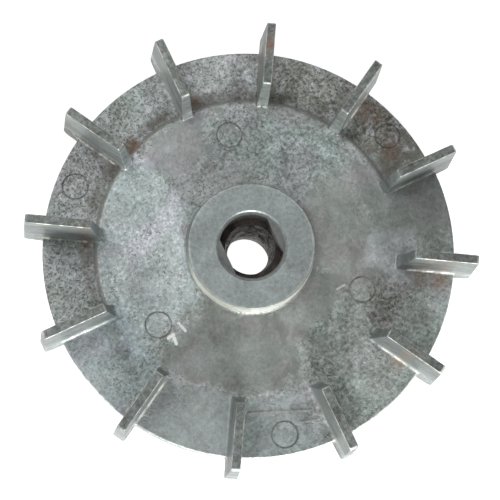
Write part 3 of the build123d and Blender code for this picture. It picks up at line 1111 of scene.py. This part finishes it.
@dataclass
class Studio:
    """A pale floor, soft lights and the camera.

    Attributes:
        target: The point that the camera looks at.
        distance: From the target to the camera.
        azimuth: The camera's direction round the axis, in degrees.
        elevation: The camera's height, in degrees.
        roll: How far the camera is turned about its own line of sight, in degrees.
        lens: The focal length on a 36 mm frame.
        sensor: That frame's width.
        lamps: The soft lights.
        room_glow: How bright the room is to the wheel.
        seen_glow: How bright the room is to the camera.
        floor_size: The floor's side.
        floor_gap: How far the floor is below the open edge.
        floor_tone: How pale the floor is.
        floor_glow: How much light of its own it gives.
        lit_radius: The round part under the hub that glows fully, so that the bore shows white.
        lit_fade: How far past that the glow falls to the floor's own.
    """

    target: Colour = (0.0, 0.0, 34.0)
    distance: float = 461.76
    azimuth: float = -137.18
    elevation: float = 79.33
    roll: float = 22.12
    lens: float = 85.57
    sensor: float = 36.0
    lamps: tuple[Lamp, ...] = (
        Lamp("key", azimuth=250.0, elevation=14.0, distance=2600.0, size=1000.0, watts=110.0),
        Lamp("overhead", azimuth=120.0, elevation=60.0, distance=2500.0, size=1600.0, watts=24.0),
    )
    room_glow: float = 0.45
    seen_glow: float = 1.0
    floor_size: float = 6000.0
    floor_gap: float = 0.1
    floor_tone: float = 0.75
    floor_glow: float = 0.55
    lit_radius: float = 50.0
    lit_fade: float = 20.0

    def build(self) -> None:
        """Sets up the floor, the lights and the camera."""
        self.floor()
        self.lights()
        self.camera()
        log.info("studio ready")

    def floor(self) -> None:
        """Lays a pale sheet under the wheel, clear from below so that the underside can be seen."""
        bpy.ops.mesh.primitive_plane_add(size=self.floor_size * MM, location=(0, 0, -self.floor_gap * MM))
        sheet = bpy.context.object
        sheet.name = "floor"
        paper = bpy.data.materials.new("pale_paper")
        paper.use_nodes = True
        nodes, links = paper.node_tree.nodes, paper.node_tree.links
        shader = nodes["Principled BSDF"]
        shader.inputs["Base Color"].default_value = (self.floor_tone, self.floor_tone, self.floor_tone, 1.0)
        shader.inputs["Roughness"].default_value = 0.9
        shader.inputs["Emission Color"].default_value = (1.0, 1.0, 1.0, 1.0)
        place, length = nodes.new("ShaderNodeTexCoord"), nodes.new("ShaderNodeVectorMath")
        length.operation = "LENGTH"
        glow = nodes.new("ShaderNodeMapRange")
        glow.inputs["From Min"].default_value = self.lit_radius * MM
        glow.inputs["From Max"].default_value = (self.lit_radius + self.lit_fade) * MM
        glow.inputs["To Min"].default_value = 1.0
        glow.inputs["To Max"].default_value = self.floor_glow
        links.new(place.outputs["Object"], length.inputs[0])
        links.new(length.outputs["Value"], glow.inputs["Value"])
        links.new(glow.outputs["Result"], shader.inputs["Emission Strength"])
        clear, side = nodes.new("ShaderNodeBsdfTransparent"), nodes.new("ShaderNodeNewGeometry")
        pick = nodes.new("ShaderNodeMixShader")
        links.new(side.outputs["Backfacing"], pick.inputs["Fac"])
        links.new(shader.outputs[0], pick.inputs[1])
        links.new(clear.outputs[0], pick.inputs[2])
        links.new(pick.outputs[0], nodes["Material Output"].inputs["Surface"])
        sheet.data.materials.append(paper)

    @staticmethod
    def outward(azimuth: float, elevation: float) -> Vector:
        """Gives the direction from the wheel at an azimuth and an elevation in degrees."""
        around, above = math.radians(azimuth), math.radians(elevation)
        flat = math.cos(above)
        return Vector((math.cos(around) * flat, math.sin(around) * flat, math.sin(above)))

    def hang(self, lamp: Lamp) -> None:
        """Hangs one lamp.

        Args:
            lamp: The lamp.
        """
        out = self.outward(lamp.azimuth, lamp.elevation)
        bpy.ops.object.light_add(type="AREA", location=Vector(self.target) * MM + out * lamp.distance * MM)
        light = bpy.context.object
        light.name = lamp.name
        light.data.size = lamp.size * MM
        light.data.energy = lamp.watts
        light.rotation_mode = "QUATERNION"
        light.rotation_quaternion = out.to_track_quat("Z", "Y")

    def lights(self) -> None:
        """Hangs the lights and sets the room's glow."""
        for lamp in self.lamps:
            self.hang(lamp)
        world = bpy.data.worlds.new("room")
        bpy.context.scene.world = world
        world.use_nodes = True
        nodes, links = world.node_tree.nodes, world.node_tree.links
        glow = nodes["Background"]
        glow.inputs["Color"].default_value = (1.0, 1.0, 1.0, 1.0)
        glow.inputs["Strength"].default_value = self.room_glow
        seen = nodes.new("ShaderNodeBackground")
        seen.inputs["Strength"].default_value = self.seen_glow
        pick = nodes.new("ShaderNodeMixShader")
        path = nodes.new("ShaderNodeLightPath")
        links.new(path.outputs["Is Camera Ray"], pick.inputs["Fac"])
        links.new(glow.outputs[0], pick.inputs[1])
        links.new(seen.outputs[0], pick.inputs[2])
        links.new(pick.outputs[0], nodes["World Output"].inputs["Surface"])

    def camera(self) -> None:
        """Sets the camera at its distance, height and roll."""
        back = self.outward(self.azimuth, self.elevation)
        bpy.ops.object.camera_add()
        camera = bpy.context.object
        camera.name = "camera"
        camera.data.lens = self.lens
        camera.data.sensor_width = self.sensor
        camera.data.clip_start = 10 * MM
        camera.location = (Vector(self.target) + back * self.distance) * MM
        level = back.to_track_quat("Z", "Y")
        roll = Matrix.Rotation(math.radians(self.roll), 4, back).to_quaternion()
        camera.rotation_mode = "QUATERNION"
        camera.rotation_quaternion = roll @ level
        bpy.context.scene.camera = camera
        bpy.context.scene.view_settings.view_transform = "Standard"


def main() -> None:
    """Builds every sub-assembly and the studio, in order."""
    logging.basicConfig(level=logging.INFO, format="%(name)s: %(message)s")
    Studio().build()
    FanCasting().build()
    HubBush().build()
    MagnetRing().build()
    PointsCam().build()


if __name__ == "__main__":
    main()
